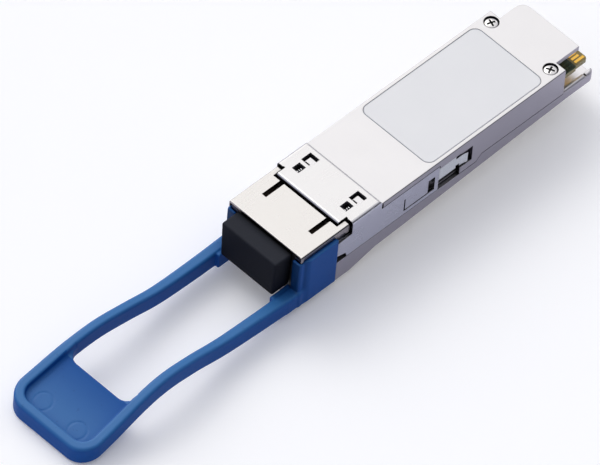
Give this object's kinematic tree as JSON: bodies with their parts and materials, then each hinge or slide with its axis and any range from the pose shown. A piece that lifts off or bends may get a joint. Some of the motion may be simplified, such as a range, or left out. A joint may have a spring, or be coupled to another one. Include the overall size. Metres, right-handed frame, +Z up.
{
  "type": "optical transceiver module",
  "caption": "Pluggable optical transceiver with metal housing, duplex fibre port under a dust plug, board-edge connector and a soft pull tab that slides the side latches.",
  "frame": {"origin": "bottom centre of the whole object's box, with the module level and its label side up", "axes": "+X across the width, to the right seen from the port end; +Y from the pull tab and port to the edge connector; +Z up, out of the label side"},
  "size_m": [0.0198, 0.1247, 0.0143],
  "materials": {
    "housing_metal": "nickel-plated die casting, satin",
    "cover_metal": "nickel-plated die casting, satin",
    "sheet_steel": "bright stamped sheet",
    "screw_steel": "polished",
    "label": "blank film, matte",
    "port_plastic": "moulded, matte",
    "package_metal": "gold-plated, satin",
    "ceramic": "fired ceramic, smooth",
    "flex_film": "polyimide film",
    "board": "solder mask",
    "gold": "plated, bright",
    "chip_plastic": "moulded, matte",
    "thermal_pad": "soft, matte",
    "spring_steel": "drawn wire",
    "tab_rubber": "blue thermoplastic elastomer, semi-matte",
    "plug_rubber": "black rubber, matte"
  },
  "bodies": {
    "housing": {"bottom_housing": "housing_metal", "top_cover": "cover_metal", "nose_cover": "sheet_steel", "emi_collar": "sheet_steel", "label_plate": "label", "cover_screws": "screw_steel", "lc_receptacle": "port_plastic", "receptacle_clamp": "sheet_steel", "transmitter_package": "package_metal", "receiver_package": "package_metal", "alignment_sleeves": "ceramic", "fibre_stubs": "ceramic", "transmitter_flex": "flex_film", "receiver_flex": "flex_film", "main_board": "board", "edge_contacts_top": "gold", "edge_contacts_bottom": "gold", "signal_processor": "chip_plastic", "laser_driver": "chip_plastic", "microcontroller": "chip_plastic", "passive_components": "ceramic", "thermal_pad_optics": "thermal_pad", "thermal_pad_processor": "thermal_pad", "return_spring_right": "spring_steel", "return_spring_left": "spring_steel"},
    "latch": {"latch_slider": "sheet_steel", "pull_tab": "tab_rubber"},
    "plug": {"dust_plug": "plug_rubber"}
  },
  "joints": [
    {"name": "latch_release", "type": "slide", "parent": "housing", "child": "latch", "axis": [0, -1, 0], "range_m": [0, 0.0026], "stiffness_N_per_m": 300, "springref_m": -0.002, "deforming": ["return_spring_right", "return_spring_left"]},
    {"name": "dust_plug_pull", "type": "slide", "parent": "housing", "child": "plug", "axis": [0, -1, 0], "range_m": [0, 0.02]}
  ]
}
